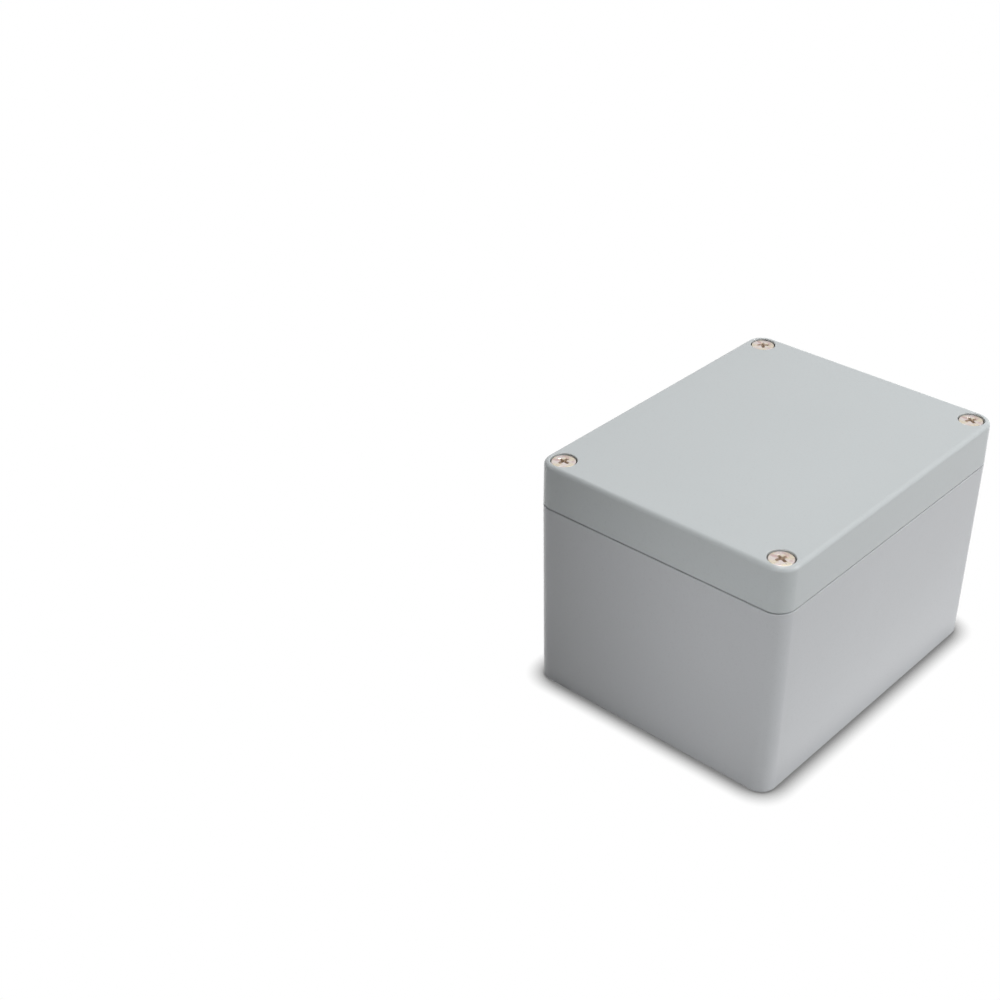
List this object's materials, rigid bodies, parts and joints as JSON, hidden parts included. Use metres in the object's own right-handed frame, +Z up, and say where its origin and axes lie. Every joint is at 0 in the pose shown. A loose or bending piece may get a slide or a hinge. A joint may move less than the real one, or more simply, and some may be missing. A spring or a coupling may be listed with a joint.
{
  "type": "sealed abs enclosure",
  "caption": "Light grey sealed plastic instrument box with a screwed lid, a gasket groove, corner columns, board bosses and card guides inside.",
  "frame": {"origin": "middle of the underside, on the surface that the box stands on", "axes": "+Z up out of the lid, +Y along the length, +X along the width"},
  "size_m": [0.09, 0.115, 0.08],
  "materials": {
    "abs_light_grey": "fine satin gloss",
    "screw_metal": "plated, slightly warm",
    "insert_brass": "machined",
    "seal_rubber": "matt"
  },
  "bodies": {
    "base": {"base": "abs_light_grey", "insert_front_left": "insert_brass", "insert_front_right": "insert_brass", "insert_back_right": "insert_brass", "insert_back_left": "insert_brass"},
    "lid": {"lid": "abs_light_grey", "gasket": "seal_rubber"},
    "screw_front_left": {"lid_screw_front_left": "screw_metal"},
    "screw_front_right": {"lid_screw_front_right": "screw_metal"},
    "screw_back_right": {"lid_screw_back_right": "screw_metal"},
    "screw_back_left": {"lid_screw_back_left": "screw_metal"}
  },
  "joints": [
    {"name": "lid_lift", "type": "slide", "parent": "base", "child": "lid", "axis": [0, 0, 1], "range_m": [0, 0.11]},
    {"name": "screw_front_left_out", "type": "slide", "parent": "lid", "child": "screw_front_left", "axis": [0, 0, 1], "range_m": [0, 0.03]},
    {"name": "screw_front_right_out", "type": "slide", "parent": "lid", "child": "screw_front_right", "axis": [0, 0, 1], "range_m": [0, 0.03]},
    {"name": "screw_back_right_out", "type": "slide", "parent": "lid", "child": "screw_back_right", "axis": [0, 0, 1], "range_m": [0, 0.03]},
    {"name": "screw_back_left_out", "type": "slide", "parent": "lid", "child": "screw_back_left", "axis": [0, 0, 1], "range_m": [0, 0.03]}
  ]
}
